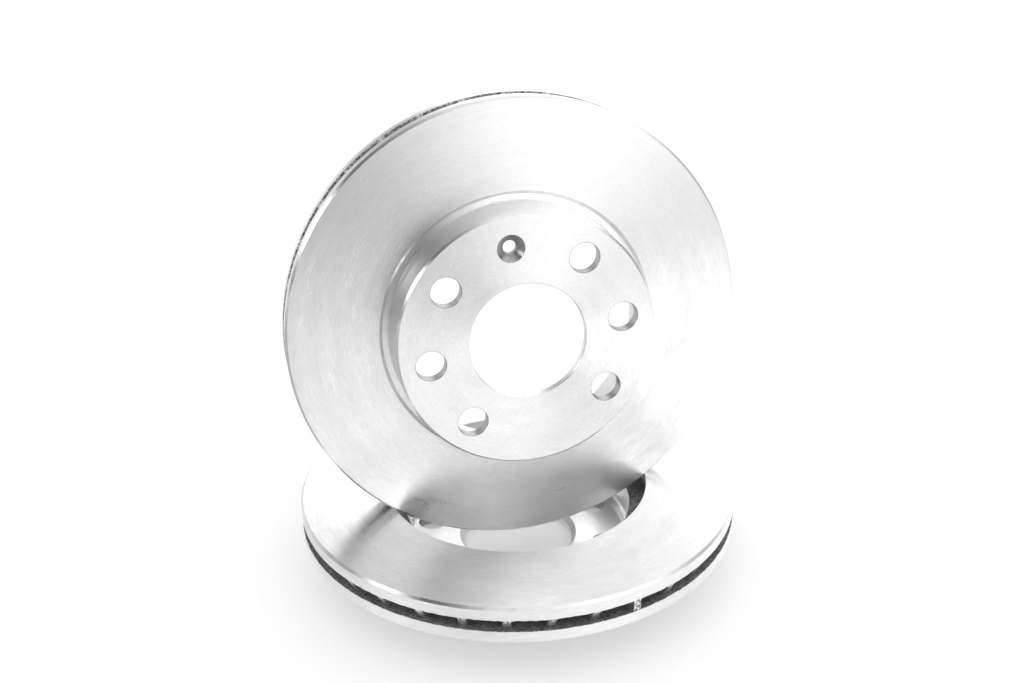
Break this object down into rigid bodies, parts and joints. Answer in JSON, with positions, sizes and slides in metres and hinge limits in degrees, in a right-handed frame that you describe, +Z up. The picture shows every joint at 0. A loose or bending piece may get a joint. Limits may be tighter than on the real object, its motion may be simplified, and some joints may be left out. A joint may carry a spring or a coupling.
{
  "type": "pair of ventilated brake discs",
  "caption": "Two bare ventilated brake discs: one lies hat down, the other stands upright on its rim in the lying disc's central hole.",
  "frame": {"origin": "centre of the lying disc's hat face, on the floor", "axes": "+Z up along the lying disc's axis; the standing disc's hat faces -Y and it leans back towards +Y; +X is to the right seen from the -Y side"},
  "size_m": [0.236, 0.236, 0.2544],
  "materials": {
    "lying_iron": "turned bright on the working faces, raw casting in the vents",
    "standing_iron": "turned bright on the working faces, raw casting in the vents"
  },
  "bodies": {
    "lying_disc": {"lying_disc": "lying_iron"},
    "standing_disc": {"standing_disc": "standing_iron"}
  },
  "joints": [
    {"name": "standing_disc_lift", "type": "slide", "parent": "lying_disc", "child": "standing_disc", "axis": [0, 0, 1], "range_m": [0, 0.15]}
  ]
}
